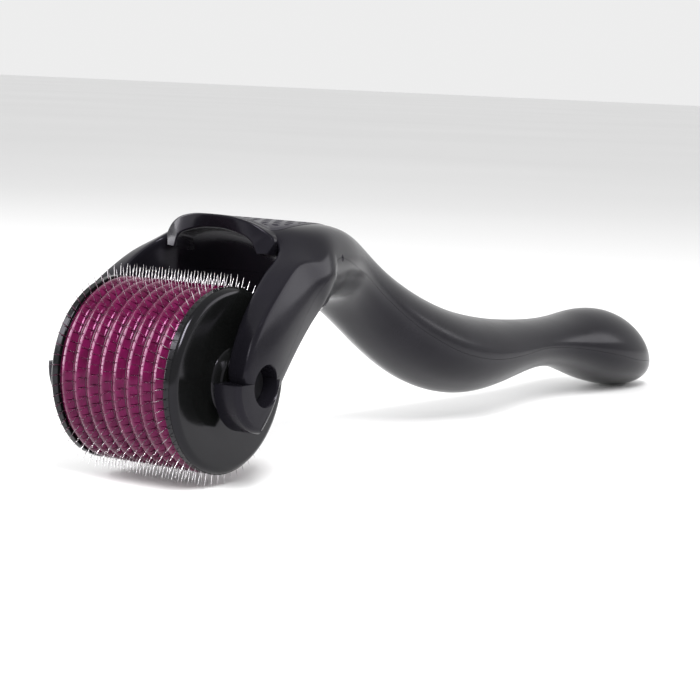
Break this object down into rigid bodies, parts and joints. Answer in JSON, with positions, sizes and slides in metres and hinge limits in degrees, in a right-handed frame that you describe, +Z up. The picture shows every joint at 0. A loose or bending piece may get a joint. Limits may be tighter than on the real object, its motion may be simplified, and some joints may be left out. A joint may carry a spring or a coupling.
{
  "type": "derma roller",
  "caption": "Hand-held skin roller: a free-spinning drum of translucent magenta discs with fine steel needles, held in the fork of an S-curved glossy black two-shell handle.",
  "frame": {"origin": "middle of the bounding box's base, on the surface the roller lies on", "axes": "+X from the drum to the handle's tail, +Y along the drum's axle to the roller's left, +Z up"},
  "size_m": [0.137, 0.0286, 0.0312],
  "materials": {
    "gloss_black": "polished black moulded plastic with soft grey highlights",
    "soft_black": "black moulded plastic with a fine grid of dimples",
    "spindle_grey": "dark grey moulded plastic",
    "clear_magenta": "polished translucent magenta plastic",
    "needle_steel": "bright polished steel"
  },
  "bodies": {
    "handle": {"upper_shell": "gloss_black", "lower_shell": "gloss_black", "thumb_pad": "soft_black", "joint_pin_left": "gloss_black", "joint_pin_right": "gloss_black"},
    "drum": {"drum_spindle": "spindle_grey", "end_cap_left": "gloss_black", "end_cap_right": "gloss_black", "needle_disc_1": "needle_steel", "needle_disc_2": "needle_steel", "needle_disc_3": "needle_steel", "needle_disc_4": "needle_steel", "needle_disc_5": "needle_steel", "needle_disc_6": "needle_steel", "needle_disc_7": "needle_steel", "needle_disc_8": "needle_steel", "needle_disc_9": "needle_steel", "spacer_1": "clear_magenta", "spacer_2": "clear_magenta", "spacer_3": "clear_magenta", "spacer_4": "clear_magenta", "spacer_5": "clear_magenta", "spacer_6": "clear_magenta", "spacer_7": "clear_magenta", "spacer_8": "clear_magenta"}
  },
  "joints": [
    {"name": "drum_spin", "type": "hinge", "parent": "handle", "child": "drum", "pos_m": [-0.05601, 0, 0.0125], "axis": [0, 1, 0], "continuous": true}
  ]
}
